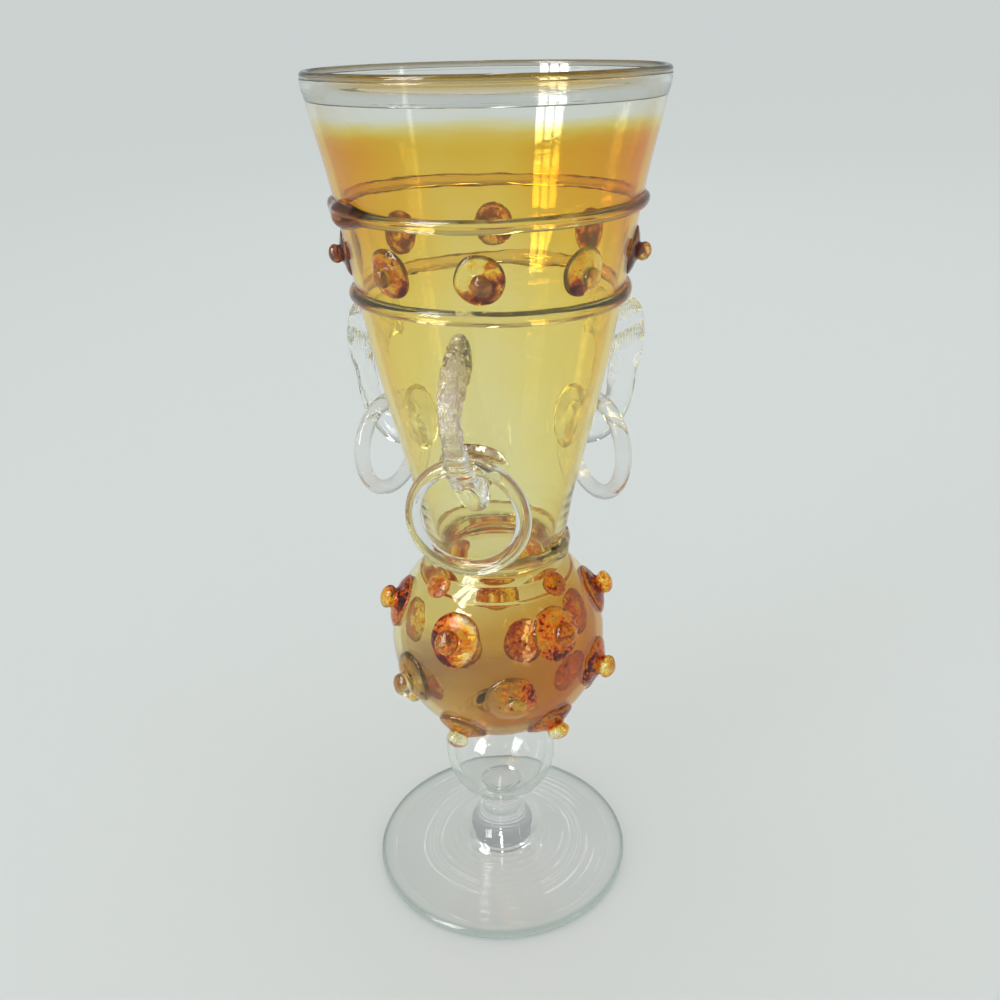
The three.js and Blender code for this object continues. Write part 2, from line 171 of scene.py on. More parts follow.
class Wire:
    """A value in a node tree, so that trees can be written as sums and products."""

    def __init__(self, tree, socket):
        self.tree, self.socket = tree, socket

    def op(self, operation, *others):
        node = self.tree.nodes.new("ShaderNodeMath")
        node.operation = operation
        for slot, value in zip(node.inputs, (self, *others)):
            plug(self.tree, value, slot)
        return Wire(self.tree, node.outputs[0])

    def __add__(self, other):
        return self.op("ADD", other)

    def __sub__(self, other):
        return self.op("SUBTRACT", other)

    def __mul__(self, other):
        return self.op("MULTIPLY", other)

    def __truediv__(self, other):
        return self.op("DIVIDE", other)

    def __getitem__(self, axis):
        node = add(self.tree, "ShaderNodeSeparateXYZ", {0: self})
        return Wire(self.tree, node.outputs[axis])


def plug(tree, value, slot):
    """Links a wire to a socket, or sets the socket's own value."""
    if isinstance(value, Wire):
        tree.links.new(value.socket, slot)
    else:
        slot.default_value = value


def add(tree, kind, inputs=None, **settings):
    """A new node with its settings made and its inputs plugged."""
    node = tree.nodes.new(kind)
    for key, value in settings.items():
        setattr(node, key, value)
    for key, value in (inputs or {}).items():
        plug(tree, value, node.inputs[key])
    return node


def out(tree, node, name=0):
    return Wire(tree, node.outputs[name])


def result(tree, kind, inputs=None, name=0, **settings):
    """The first output of a new node, or the one of that name."""
    return out(tree, add(tree, kind, inputs, **settings), name)


def vector(x, y, z):
    return result(x.tree, "ShaderNodeCombineXYZ", {0: x, 1: y, 2: z})


def noise_of(place, scale, detail=2.0, name=0):
    """Soft noise about 0.5 at a place, or three such values as a colour."""
    return result(place.tree, "ShaderNodeTexNoise", {"Vector": place, "Scale": scale, "Detail": detail}, name)


def seeded_noise(place, scale, seed):
    """Soft noise about 0.5 at a place, different for each seed."""
    return result(place.tree, "ShaderNodeTexNoise", {"Vector": place, "Scale": scale, "Detail": 1.0, "W": seed},
                  noise_dimensions="4D")


def round_axis(radius, angle, level):
    """A place at a radius and an angle round the axis, at a level."""
    return vector(radius * angle.op("SINE"), radius * angle.op("COSINE") * -1, level)


# Geometry trees: each is a way of working glass

SOCKETS = {"Geometry": "NodeSocketGeometry", "Material": "NodeSocketMaterial", "Object": "NodeSocketObject",
           int: "NodeSocketInt", float: "NodeSocketFloat"}


def new_tree(name, inputs):
    """A geometry tree with named inputs, and the wires that leave its input node."""
    tree = bpy.data.node_groups.new(name, "GeometryNodeTree")
    tree.interface.new_socket("Geometry", in_out="INPUT", socket_type=SOCKETS["Geometry"])
    for label, value in inputs.items():
        kind = SOCKETS[value] if value in ("Material", "Object") else SOCKETS[type(value)]
        socket = tree.interface.new_socket(label, in_out="INPUT", socket_type=kind)
        if value not in ("Material", "Object"):
            socket.default_value = value
    tree.interface.new_socket("Geometry", in_out="OUTPUT", socket_type=SOCKETS["Geometry"])
    entry = tree.nodes.new("NodeGroupInput")
    return tree, {label: Wire(tree, entry.outputs[label]) for label in ["Geometry", *inputs]}


def end_tree(tree, geometry, finish):
    """Closes a tree: instances made real, doubles merged, shaded smooth, and the finish set."""
    real = result(tree, "GeometryNodeRealizeInstances", {0: geometry})
    merged = result(tree, "GeometryNodeMergeByDistance", {0: real, "Distance": 0.002 * MM})
    smooth = result(tree, "GeometryNodeSetShadeSmooth", {0: merged})
    painted = result(tree, "GeometryNodeSetMaterial", {0: smooth, "Material": finish})
    add(tree, "NodeGroupOutput", {0: painted})
    return tree


def grid(tree, columns, rows):
    """A sheet of columns by rows points, with the wires that number each point's column and row."""
    sheet = result(tree, "GeometryNodeMeshGrid", {"Vertices X": columns, "Vertices Y": rows})
    index = result(tree, "GeometryNodeInputIndex")
    column = (index / rows).op("FLOOR")
    return sheet, column, index - column * rows


def sampled(tree, source, index):
    """The place of the point of that number in another mesh."""
    place = result(tree, "GeometryNodeInputPosition")
    node = add(tree, "GeometryNodeSampleIndex", data_type="FLOAT_VECTOR", domain="POINT")
    for name, wire in (("Geometry", source), ("Value", place), ("Index", index)):
        plug(tree, wire, node.inputs[name])
    return out(tree, node)


def turned_tree():
    """Turns a profile round the axis, with the slight unevenness of glass turned by hand."""
    tree, given = new_tree("turned glass", {
        "Segments": 128, "Out of Round": 0.0, "Long Axis": 0.0, "Waver": 0.0, "Waver Scale": 30.0,
        "Seed": 0, "Finish": "Material"})
    rows = result(tree, "GeometryNodeAttributeDomainSize", {0: given["Geometry"]}, "Point Count")
    sheet, column, row = grid(tree, given["Segments"] + 1, rows)
    angle = column / given["Segments"] * TURN
    profile = sampled(tree, given["Geometry"], row)
    around = vector(angle.op("SINE"), angle.op("COSINE") * -1, profile[2] * given["Waver Scale"])
    wavering = seeded_noise(around, 1.0, given["Seed"])
    swell = ((angle - given["Long Axis"]) * 2).op("COSINE") * given["Out of Round"] \
        + (wavering - 0.5) * given["Waver"]
    place = round_axis(profile[0] * (swell + 1), angle, profile[2])
    turned = result(tree, "GeometryNodeSetPosition", {"Geometry": sheet, "Position": place})
    return end_tree(tree, turned, given["Finish"])


def laid_tree():
    """Lays glass that was shaped flat on to the wall: X runs round it, Y up along it and Z off it."""
    tree, given = new_tree("glass laid on the wall", {
        "Wall": "Object", "Azimuth": 0.0, "Middle": 0.0, "Finish": "Material"})
    line = result(tree, "GeometryNodeObjectInfo", {"Object": given["Wall"]}, "Geometry")
    profile = result(tree, "GeometryNodeMeshToCurve", {0: line})
    flat = result(tree, "GeometryNodeInputPosition")
    sample = add(tree, "GeometryNodeSampleCurve", {"Curves": profile, "Length": given["Middle"] + flat[1]},
                 mode="LENGTH")
    place, along = out(tree, sample, "Position"), out(tree, sample, "Tangent")
    radius = place[0] + along[2] * flat[2]
    angle = given["Azimuth"] + flat[0] / place[0]
    laid = round_axis(radius, angle, place[2] - along[0] * flat[2])
    moved = result(tree, "GeometryNodeSetPosition", {"Geometry": given["Geometry"], "Position": laid})
    return end_tree(tree, moved, given["Finish"])


def drawn_tree():
    """Sweeps a round section along a closed path, thicker and thinner as drawn glass is."""
    tree, given = new_tree("drawn glass", {
        "Thickness": 5 * MM, "Sides": 40, "Unevenness": 0.06, "Unevenness Scale": 40.0, "Seed": 0,
        "Finish": "Material"})
    place = result(tree, "GeometryNodeInputPosition")
    wander = seeded_noise(place, given["Unevenness Scale"], given["Seed"])
    swell = (wander - 0.5) * given["Unevenness"] * 2 + 1
    path = result(tree, "GeometryNodeMeshToCurve", {0: given["Geometry"]})
    sized = result(tree, "GeometryNodeSetCurveRadius", {0: path, "Radius": swell})
    section = result(tree, "GeometryNodeCurvePrimitiveCircle",
                     {"Resolution": given["Sides"], "Radius": given["Thickness"] * 0.5}, "Curve")
    tube = result(tree, "GeometryNodeCurveToMesh", {"Curve": sized, "Profile Curve": section, "Scale": swell})
    return end_tree(tree, tube, given["Finish"])


# Making and finishing pieces

def new_mesh(name, places, faces=(), edges=()):
    mesh = bpy.data.meshes.new(name)
    mesh.from_pydata(places, edges, faces)
    return mesh


def point_line(points, closed=False):
    """A mesh of points joined in a line, in the plane of X and Z where two numbers are given."""
    places = [(p[0], 0, p[1]) if len(p) == 2 else tuple(p) for p in points]
    edges = [(i, i + 1) for i in range(len(places) - 1)]
    if closed:
        edges.append((len(places) - 1, 0))
    return new_mesh("line", places, edges=edges)


def sheet_faces(columns, rows, closed):
    """Faces of a sheet whose last column joins its first, and its last row too where it is closed."""
    faces = []
    for i in range(columns):
        after = (i + 1) % columns
        for j in range(rows if closed else rows - 1):
            above = (j + 1) % rows
            faces.append((i * rows + j, after * rows + j, after * rows + above, i * rows + above))
    return faces


def mark(mesh, name, values):
    """Gives the points of a mesh a number or a vector each, under the name that its glass reads."""
    values = np.asarray(values, np.float32)
    kind, key = ("FLOAT", "value") if values.ndim == 1 else ("FLOAT_VECTOR", "vector")
    mesh.attributes.new(name, kind, "POINT").data.foreach_set(key, values.ravel())


def new_object(name, data):
    piece = bpy.data.objects.new(name, data)
    bpy.context.scene.collection.objects.link(piece)
    return piece


def made_plain(piece):
    """Keeps what a piece's modifiers make as its plain mesh."""
    bpy.context.view_layer.update()
    found = bpy.data.meshes.new_from_object(piece.evaluated_get(bpy.context.evaluated_depsgraph_get()))
    piece.modifiers.clear()
    piece.data = found
    return piece


def worked(piece, tree, **inputs):
    """Runs a geometry tree on a piece and keeps the result as its plain mesh."""
    modifier = piece.modifiers.new(tree.name, "NODES")
    modifier.node_group = tree
    named = {item.name: item.identifier for item in tree.interface.items_tree if item.in_out == "INPUT"}
    for name, value in inputs.items():
        modifier[named[name.replace("_", " ")]] = value
    return made_plain(piece)


def of_points(mesh, key="co"):
    """The places of a mesh's points, or another vector that each of them has."""
    values = np.empty(len(mesh.vertices) * 3)
    mesh.vertices.foreach_get(key, values)
    return values.reshape(-1, 3)


def volume(mesh):
    mesh.calc_loop_triangles()
    corners = np.empty(len(mesh.loop_triangles) * 3, int)
    mesh.loop_triangles.foreach_get("vertices", corners)
    a, b, c = of_points(mesh)[corners.reshape(-1, 3)].transpose(1, 0, 2)
    return float(np.einsum("ij,ij->i", a, np.cross(b, c)).sum() / 6)


def facing_out(piece):
    """Turns a closed piece's faces outward."""
    if volume(piece.data) < 0:
        piece.data.flip_normals()
    return piece


def dress(piece, slot, body, *nodes):
    """Seats a finished piece: its body, and what it stands for. The slot is not used."""
    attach(piece, body)
    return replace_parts(piece, *nodes)


# Glass

def object_place(tree):
    return result(tree, "ShaderNodeTexCoord", name="Object")


def from_axis(place):
    """Distance from the chalice's axis."""
    return (place[0] * place[0] + place[1] * place[1]).op("SQRT")


def attribute(tree, key, output="Fac"):
    return result(tree, "ShaderNodeAttribute", name=output, attribute_name=key)


def ramp(factor, stops):
    """A colour for each value of factor, by stops of value and colour."""
    node = add(factor.tree, "ShaderNodeValToRGB", {"Fac": factor})
    elements = node.color_ramp.elements
    elements[0].position, elements[1].position = stops[0][0], stops[-1][0]
    for position, _ in stops[1:-1]:
        elements.new(position)
    for element, (_, colour) in zip(elements, stops):
        element.color = (*colour, 1)
    return out(factor.tree, node)


def between(value, low, high, new_low=0.0, new_high=1.0):
    """Runs from new_low to new_high as the value goes from low to high, and stays there beyond."""
    return result(value.tree, "ShaderNodeMapRange", {"Value": value, "From Min": low, "From Max": high,
                                                     "To Min": new_low, "To Max": new_high})


def blend(share, a, b, mode="MIX"):
    """Colour a, with colour b mixed in or multiplied on by a share. One of share and a is a wire."""
    tree = (share if isinstance(share, Wire) else a).tree
    node = add(tree, "ShaderNodeMix", data_type="RGBA", blend_type=mode)
    for key, value in ((0, share), (6, a), (7, b)):
        plug(tree, value, node.inputs[key])
    return Wire(tree, node.outputs[2])


def glass(name, tint, marks, mark_height, roughness, edge=1.0, power=3.0, edge_colour=(1, 1, 1), passes=None,
          gloss=0.5):
    """Glass that bends light for the eye and lets lamp light through in its own tint.

    Towards its outlines light crosses more glass, so the tint deepens there, by edge.
    """
    material = bpy.data.materials.new(name)
    material.use_nodes = True
    tree = material.node_tree
    tree.nodes.clear()
    outline = result(tree, "ShaderNodeLayerWeight", {"Blend": 0.5}, "Facing").op("POWER", power)
    deeper = result(tree, "ShaderNodeGamma", {"Color": tint(tree), "Gamma": outline * edge + 1})
    colour = blend(outline, deeper, (*edge_colour, 1), "MULTIPLY")
    raised = result(tree, "ShaderNodeBump", {"Height": marks(tree), "Distance": mark_height, "Strength": 1.0})
    body = result(tree, "ShaderNodeBsdfPrincipled", {
        "Base Color": colour, "IOR": 1.5, "Roughness": roughness(tree), "Normal": raised,
        "Specular IOR Level": gloss, "Transmission Weight": passes(tree) if passes else 1.0})
    paler = blend(0.3, tint(tree), (1, 1, 1, 1))
    passed = blend(1.0, paler, (0.96, 0.96, 0.96, 1), "MULTIPLY")
    clear = result(tree, "ShaderNodeBsdfTransparent", {"Color": passed})
    path = add(tree, "ShaderNodeLightPath")
    for ray in ("Is Diffuse Ray", "Is Shadow Ray"):
        body = result(tree, "ShaderNodeMixShader", {0: out(tree, path, ray), 1: body, 2: clear})
    add(tree, "ShaderNodeOutputMaterial", {"Surface": body})
    return material


def clear_tint(tree):
    """Clear glass, faintly grey and a little uneven."""
    drift = noise_of(object_place(tree), 35.0)
    return ramp(drift, [(0.3, (0.965, 0.975, 0.97)), (0.7, (0.995, 0.995, 0.99))])


def foot_tint(tree):
    """Clear glass, deeper at the foot's rim where it is seen edge on."""
    rim = between(from_axis(object_place(tree)), FOOT_RADIUS - 2.2 * MM, FOOT_RADIUS - 0.4 * MM)
    return blend(rim, clear_tint(tree), (0.5, 0.6, 0.56, 1))


def foot_ripples(tree):
    """Faint rings left in the foot as it was spun open."""
    place = object_place(tree)
    wander = noise_of(place, 25.0, 1.0)
    rings = (from_axis(place) * (TURN / RIPPLE_PERIOD) + wander * 9).op("SINE") * 0.5
    return rings + noise_of(place, 60.0)


def fine_cords(tree):
    """Drawn-out streaks in blown glass, finer round the piece than up it."""
    place = object_place(tree)
    stretched = vector(place[0], place[1], place[2] * 5)
    return noise_of(stretched, 60.0)


def handled_gloss(tree):
    """A fire polish with the faint haze of handling and washing."""
    haze = noise_of(object_place(tree), 90.0, 3.0)
    return between(haze, 0.45, 0.8, 0.012, 0.07)


def drawn_streaks(place, scale=40.0, stretch=12.0):
    """Level streaks, left as the glass was turned."""
    return noise_of(vector(place[0], place[1], place[2] * stretch), scale, 3.0)


def bowl_tint(tree):
    """Amber that starts under the lip, deepest there, and fades through gold to straw at the waist. On the
    front just under the lip a painted amber glow stands for light bent through the lip, and the lip itself
    carries a painted dark line.
    """
    place = object_place(tree)
    slow = noise_of(place, 18.0) - 0.5
    streaks = drawn_streaks(place) - 0.5
    level = place[2] + place[1] * 0.08 + slow * (7 * MM) + streaks * (4 * MM)
    share = between(level, bowl_bottom, bowl_top)
    amber = ramp(share, [
        (0.0, (0.93, 0.88, 0.6)),
        (0.15, (0.98, 0.93, 0.6)),
        (0.4, (1.0, 0.92, 0.54)),
        (0.58, (1.0, 0.88, 0.41)),
        (0.72, (0.985, 0.81, 0.31)),
        (0.82, (0.975, 0.757, 0.2)),
        (0.862, (0.97, 0.737, 0.14)),
        (0.88, (0.975, 0.8, 0.28)),
        (0.895, (0.985, 0.92, 0.58)),
        (0.913, (0.985, 0.99, 0.96)),
        (1.0, (0.985, 0.99, 0.985)),
    ])
    richer = between(place[0] + slow * (60 * MM), 5 * MM, 50 * MM, 0.85, 1.9)
    richer = richer.op("MAXIMUM", between(place[0] * -1 + slow * (60 * MM), 12 * MM, 42 * MM, 0.85, 1.45))
    clouds = between(noise_of(place, 45.0, 3.0), 0.3, 0.7, 0.85, 1.15)
    clouded = result(tree, "ShaderNodeGamma", {"Color": amber, "Gamma": richer * clouds})
    # Painted light: an amber glow on the front just under the lip, standing for light bent through the lip
    # toward the camera
    painted_lens_glow = between(place[2], bowl_top - 5.4 * MM, bowl_top - 3.2 * MM) \
        * between(place[1] * -1 + slow * (20 * MM), 30 * MM, 48 * MM)
    with_painted_glow = blend(painted_lens_glow, clouded, (0.86, 0.64, 0.28, 1))
    # Painted shade: a dark line along the lip, standing for the dark surroundings that the lip shows when seen
    # edge on
    lip = between(place[2], bowl_top - 1.9 * MM, bowl_top - 0.7 * MM)
    return blend(lip, with_painted_glow, (0.28, 0.23, 0.13, 1))


def bulb_tint(tree):
    """Straw at the shoulder, a smoky band laid aslant round the middle, amber low on the right. The band is
    partly the glass's own smoke and partly painted shade for dark surroundings seen through the bulb.
    """
    place = object_place(tree)
    slow = noise_of(place, 25.0) - 0.5
    level = place[2] + place[1] * 0.5 + slow * (24 * MM)
    # The middle band is partly painted shade: darker than the glass's own smoke, standing for dark surroundings
    # seen through the bulb
    straw = ramp(between(level, bulb_bottom, bulb_top), [
        (0.0, (0.95, 0.8, 0.36)),
        (0.1, (0.93, 0.77, 0.36)),
        (0.22, (0.66, 0.5, 0.31)),
        (0.38, (0.66, 0.5, 0.32)),
        (0.5, (0.93, 0.82, 0.44)),
        (1.0, (0.95, 0.89, 0.54)),
    ])
    side = between(place[0] - place[2] + slow * (50 * MM), -0.112, -0.075)
    return blend(side, straw, (0.77, 0.4, 0.045, 1))


def round_spot(place, azimuth, level, inner, outer):
    """How near a place is to one spot of the wall: 1 within the inner distance, 0 beyond the outer one."""
    outward, _ = facing(azimuth)
    spot = outward * (float(wall_radius(level)) + 1.5 * MM) + UP * level
    away = result(place.tree, "ShaderNodeVectorMath", {0: place, 1: spot}, "Value", operation="DISTANCE")
    return between(away, inner, outer, 1.0, 0.0)


def trail_tint(tree):
    """Thread glass: near clear in front, rose on the left, red-orange on the right, gold-brown behind."""
    place = object_place(tree)
    streaks = drawn_streaks(place, 60.0, 6.0) - 0.5
    back = between(place[1] / from_axis(place) + streaks * 0.5, -1, 1)
    rose = ramp(back, [
        (0.05, (0.98, 0.95, 0.82)), (0.19, (0.96, 0.91, 0.74)), (0.32, (0.82, 0.5, 0.42)),
        (0.6, (0.84, 0.58, 0.42)), (0.8, (0.9, 0.74, 0.5))])
    orange = ramp(back, [
        (0.05, (0.97, 0.94, 0.78)), (0.19, (0.95, 0.87, 0.62)), (0.32, (0.9, 0.46, 0.2)),
        (0.6, (0.88, 0.52, 0.28)), (0.8, (0.9, 0.74, 0.48))])
    sided = blend(between(place[0], -6 * MM, 12 * MM), rose, orange)
    folds = round_spot(place, -60, UPPER_TRAIL, 5 * MM, 13 * MM) \
        * between(drawn_streaks(place, 90.0, 3.0), 0.4, 0.6, 0.35, 1.0)
    lump = blend(folds, sided, (0.45, 0.22, 0.2, 1))
    speck = round_spot(place, 158, LOWER_TRAIL, 0.7 * MM, 1.3 * MM)
    return blend(speck, lump, (0.1, 0.03, 0.02, 1))


def waist_tint(tree):
    """The thick thread at the waist: straw clear, brown only in the folds where its ends cross."""
    place = object_place(tree)
    folds = drawn_streaks(place, 70.0, 3.0)
    near = between(place[0] * 0.9 - place[1] * 0.4, 20 * MM, 27 * MM)
    folded = ramp(folds + near * 0.35, [
        (0.45, (0.97, 0.94, 0.76)), (0.7, (0.92, 0.82, 0.5)), (0.9, (0.5, 0.36, 0.18))])
    speck = round_spot(place, 66, WAIST_TRAIL + 1.5 * MM, 0.5 * MM, 1.0 * MM)
    return blend(speck, folded, (0.02, 0.02, 0.02, 1))


def blob_place(tree):
    return attribute(tree, "blob_place", "Vector")


def frit_cracks(tree):
    """Distance from the fine cracks between grains."""
    cells = result(tree, "ShaderNodeTexVoronoi", {"Vector": blob_place(tree), "Scale": 5.5},
                   feature="DISTANCE_TO_EDGE")
    return between(cells, 0.0, 0.09)


def frit_grain(tree):
    """The grains of frit, a millimetre or less across, and the cracks between them."""
    return noise_of(blob_place(tree), 8.0, 4.0) + frit_cracks(tree) * 0.35


def frit_heat(tree, grain=0.42, crack=0.14):
    """How dense the frit is at each spot: patches, grains and the cracks between them."""
    flat = blob_place(tree)
    warp = result(tree, "ShaderNodeVectorMath", {0: flat, 1: noise_of(flat, 1.7, 2.0, "Color")},
                  operation="ADD")
    patches = between(noise_of(warp, 1.5, 3.0), 0.36, 0.64)
    grains = between(noise_of(flat, 7.0, 5.0), 0.38, 0.62) - 0.5
    cracks = frit_cracks(tree) - 0.5
    return patches * (0.92 - grain) + grains * grain - cracks * crack + attribute(tree, "blob_heat") + 0.2


def speckled(colour, least=0.69):
    """A colour with sparse black specks in it."""
    specks = noise_of(blob_place(colour.tree), 3.3, 1.0)
    return blend(between(specks, least, least + 0.025), colour, (0.03, 0.02, 0.03, 1))


def frit_tint(tree):
    """Clear glass rolled in gold, orange and red frit, with cracks and black specks."""
    return speckled(ramp(frit_heat(tree), [
        (0.1, (0.99, 0.97, 0.76)),
        (0.3, (1.0, 0.84, 0.15)),
        (0.45, (1.0, 0.58, 0.02)),
        (0.6, (0.93, 0.26, 0.005)),
        (0.72, (0.62, 0.07, 0.004)),
        (0.86, (0.24, 0.02, 0.006)),
        (1.0, (0.03, 0.008, 0.008)),
    ]))


def frit_passes(tree):
    """Dense frit scatters light where clear glass lets it through."""
    return between(frit_heat(tree), 0.25, 0.7, 1.0, 0.58)


def flowed_tint(tree):
    """Frit that has melted and flowed: clear and gold glass with brown and plum clouds."""
    return speckled(ramp(frit_heat(tree, 0.16, 0.05), [
        (0.24, (0.99, 0.97, 0.8)),
        (0.4, (1.0, 0.84, 0.26)),
        (0.52, (0.96, 0.56, 0.06)),
        (0.64, (0.7, 0.24, 0.05)),
        (0.78, (0.34, 0.08, 0.045)),
        (0.95, (0.09, 0.02, 0.02)),
    ]), 0.72)


def flowed_passes(tree):
    """Flowed frit lets nearly all light through."""
    return between(frit_heat(tree, 0.16, 0.05), 0.4, 0.9, 1.0, 0.75)


def worked_marks(tree):
    """Tool marks on a handle: dimples on the front strap, drawn cords and comb teeth on the side straps."""
    place = attribute(tree, "handle_place", "Vector")
    cords = noise_of(vector(place[0], place[1], place[2] * 0.08), 650.0)
    teeth = (place[0] * (TURN / COMB_PERIOD)).op("SINE")
    return cords * attribute(tree, "handle_cords") * 0.9 + teeth * attribute(tree, "handle_comb") * 1.2 \
        + noise_of(place, 300.0) * 0.2 \
        + noise_of(place, 1100.0, 3.0) * attribute(tree, "handle_dimples")


def worked_gloss(tree):
    return attribute(tree, "handle_dimples") * 0.03 + 0.015


def worked_tint(tree):
    """Clear glass, smoky brown along the top of the front gather and a little in its strap."""
    clouds = between(noise_of(object_place(tree), 340.0, 3.0), 0.42, 0.6, 0.15, 1.0)
    smoke = attribute(tree, "handle_smoke") * clouds
    return blend(smoke, clear_tint(tree), (0.55, 0.4, 0.37, 1))


def ring_tint(tree):
    """Clear glass a little greyer than the foot's."""
    drift = noise_of(object_place(tree), 60.0)
    return ramp(drift, [(0.3, (0.9, 0.9, 0.895)), (0.7, (0.96, 0.955, 0.94))])


CLEAR = glass("clear glass", clear_tint, fine_cords, 0.03 * MM, handled_gloss, edge=13.0,
              edge_colour=(0.6, 0.68, 0.65))
BAND = glass("clear band glass", clear_tint, fine_cords, 0.02 * MM, handled_gloss, edge=2.0, power=5.0)
FOOTED = glass("spun foot glass", foot_tint, foot_ripples, 0.04 * MM, handled_gloss, edge=3.0, power=8.0)
AMBER = glass("amber bowl glass", bowl_tint, fine_cords, 0.03 * MM, handled_gloss, edge=2.6,
              edge_colour=(0.95, 0.64, 0.32))
STRAW = glass("straw bulb glass", bulb_tint, fine_cords, 0.04 * MM, handled_gloss, edge=1.6, power=4.0)
TRAIL = glass("rose-brown thread glass", trail_tint, fine_cords, 0.05 * MM, handled_gloss)
WAIST = glass("straw thread glass", waist_tint, fine_cords, 0.05 * MM, handled_gloss)
FLOWED = glass("flowed frit glass", flowed_tint, frit_grain, 0.05 * MM, handled_gloss, edge=0.3,
               passes=flowed_passes, gloss=0.35)
FRIT = glass("frit-rolled glass", frit_tint, frit_grain, 0.1 * MM, handled_gloss, edge=0.0,
             passes=frit_passes, gloss=0.25)
WORKED = glass("tooled clear glass", worked_tint, worked_marks, 0.35 * MM, worked_gloss, edge=12.0,
              edge_colour=(0.8, 0.83, 0.78))
DRAWN = glass("drawn ring glass", ring_tint, fine_cords, 0.03 * MM, handled_gloss, edge=9.0)

turned = turned_tree()
laid = laid_tree()
drawn = drawn_tree()
wall_line = new_object("wall_line", point_line([tuple(p) for p in wall]))


def turned_piece(name, profile, finish, segments=160, **inputs):
    """A piece turned from its profile, which runs from the axis, or round a closed section."""
    piece = new_object(name, point_line(profile))
    return facing_out(worked(piece, turned, Segments=segments, Finish=finish, **inputs))


# Stem

def foot():
    bearing = FOOT_RADIUS - FOOT_EDGE / 2 - FOOT_BEARING
    hollow = [(bearing * share, FOOT_HOLLOW * (1 - share**2)) for share in np.linspace(0, 1, 24)]
    edge = arc(FOOT_EDGE / 2, (FOOT_RADIUS - FOOT_EDGE / 2, FOOT_EDGE / 2), -90, 75, 14)
    rise = NECK_HEIGHT - FOOT_EDGE
    top = smooth_line([(lerp(NECK_RADIUS, FOOT_RADIUS - FOOT_EDGE * 0.4, share), FOOT_EDGE + up * rise)
                       for share, up in FOOT_TOP_SHARES], 10)
    into_ball = NECK_HEIGHT + CLEARANCE + FUSED
    profile = [*hollow, *edge, *top[1:], (NECK_RADIUS, into_ball), (0, into_ball)]
    return turned_piece("foot_glass", profile, FOOTED, 192, Out_of_Round=0.004, Waver=0.012,
                        Waver_Scale=70.0, Seed=3)


def ball():
    start = NECK_HEIGHT + CLEARANCE
    outer = arc(BALL_RADIUS, (0, ball_centre), latitude(start - ball_centre, BALL_RADIUS),
                latitude(ball_top - ball_centre, BALL_RADIUS), 56)
    inner_radius = BALL_RADIUS - BALL_WALL
    top = bulb_bottom + FUSED
    inner = arc(inner_radius, (0, ball_centre), 68, -88, 56)
    profile = [(0, start), *outer, (BALL_SEAT, top), (inner[0][0], top), *inner, (0, inner[-1][1])]
    return turned_piece("ball_glass", profile, CLEAR, Out_of_Round=0.006, Long_Axis=0.6)


# Bulb and bowl

def bulb():
    inner_radius = BULB_RADIUS - BULB_WALL
    floor = bulb_bottom + BULB_FLOOR * 0.6
    mouth = smooth_line([(MOUTH_RADIUS + 1.4 * MM, bulb_top), (MOUTH_RADIUS, bulb_top - 1.6 * MM),
                         (MOUTH_RADIUS, bulb_top - MOUTH_DEPTH), (MOUTH_RADIUS + 2.6 * MM, bulb_top - 7.6 * MM),
                         (MOUTH_RADIUS + 6.5 * MM, bulb_top - 10.4 * MM)], 8)
    start = latitude(mouth[-1][1] - bulb_centre, inner_radius)
    inner = arc(inner_radius, (0, bulb_centre), start, latitude(floor - bulb_centre, inner_radius), 96)
    profile = [(0, bulb_bottom), *bulb_outside, (WAIST_RADIUS, bulb_top), *mouth, *inner, (0, floor)]
    return turned_piece("bulb_glass", profile, STRAW, 192)


def bowl():
    lip = arc(LIP_THICKNESS / 2, (LIP_RADIUS - LIP_THICKNESS / 2, bowl_top - LIP_THICKNESS / 2), 0, 180, 24)
    levels = np.linspace(bowl_top - LIP_THICKNESS * 1.6, bowl_bottom - FUSED, 90)
    thickest = WAIST_RADIUS - THROAT_RADIUS
    inner = []
    for level in levels:
        share = min(1, max(0, (level - bowl_bottom) / THROAT_TAPER))
        inner.append((wall_radius(level) - lerp(thickest, BOWL_WALL, share), level))
    foot_edge = (WAIST_RADIUS - FUSED, bowl_bottom - CLEARANCE - FUSED)
    inner.append((THROAT_RADIUS, foot_edge[1]))
    profile = [foot_edge, *bowl_outside[:-1], *lip, *inner, foot_edge]
    return turned_piece("bowl_glass", profile, AMBER, 256)


def rim_band():
    top = bowl_top - BAND_BELOW_LIP
    steps = [(1, -FUSED), (0.93, 0.25 * MM), (0.8, BAND_THICKNESS * 0.8), (0.6, BAND_THICKNESS),
             (0.4, BAND_THICKNESS * 0.9), (0.2, BAND_THICKNESS * 0.55), (0.07, 0.12 * MM), (0, -FUSED)]
    line = smooth_line([(off, top - BAND_HEIGHT * (1 - up)) for up, off in reversed(steps)], 6)
    outer = [(wall_radius(level) + off, level) for off, level in line]
    inner = [(wall_radius(level) - FUSED, level) for level in np.linspace(top, top - BAND_HEIGHT, 16)]
    return turned_piece("rim_band_glass", [*outer, *inner[1:-1], outer[0]], BAND, 256)


# Threads wound round the wall

# Section of a thread: share of half its height, and share of its thickness
THREAD_SHARES = [(-1, 0), (-0.97, 0.3), (-0.8, 0.66), (-0.45, 0.93), (0, 1), (0.45, 0.93), (0.8, 0.66),
                 (0.97, 0.3), (1, 0)]
THREAD_COLUMNS = 288
# Reach of the crossing of a thread's ends, in radians, and how deep the groove between the ends is
CROSSING_REACH = 0.15
CROSSING_GROOVE = 0.4
# How far a thread strays up and down: once round as a wave, and unevenly
THREAD_WAVE = 0.5 * MM
THREAD_STRAY = 0.25 * MM


def round_noise(turn, pace, seed):
    """Noise that runs round the axis and meets itself."""
    return noise.noise(Vector((math.sin(turn) * pace, math.cos(turn) * pace, seed)))


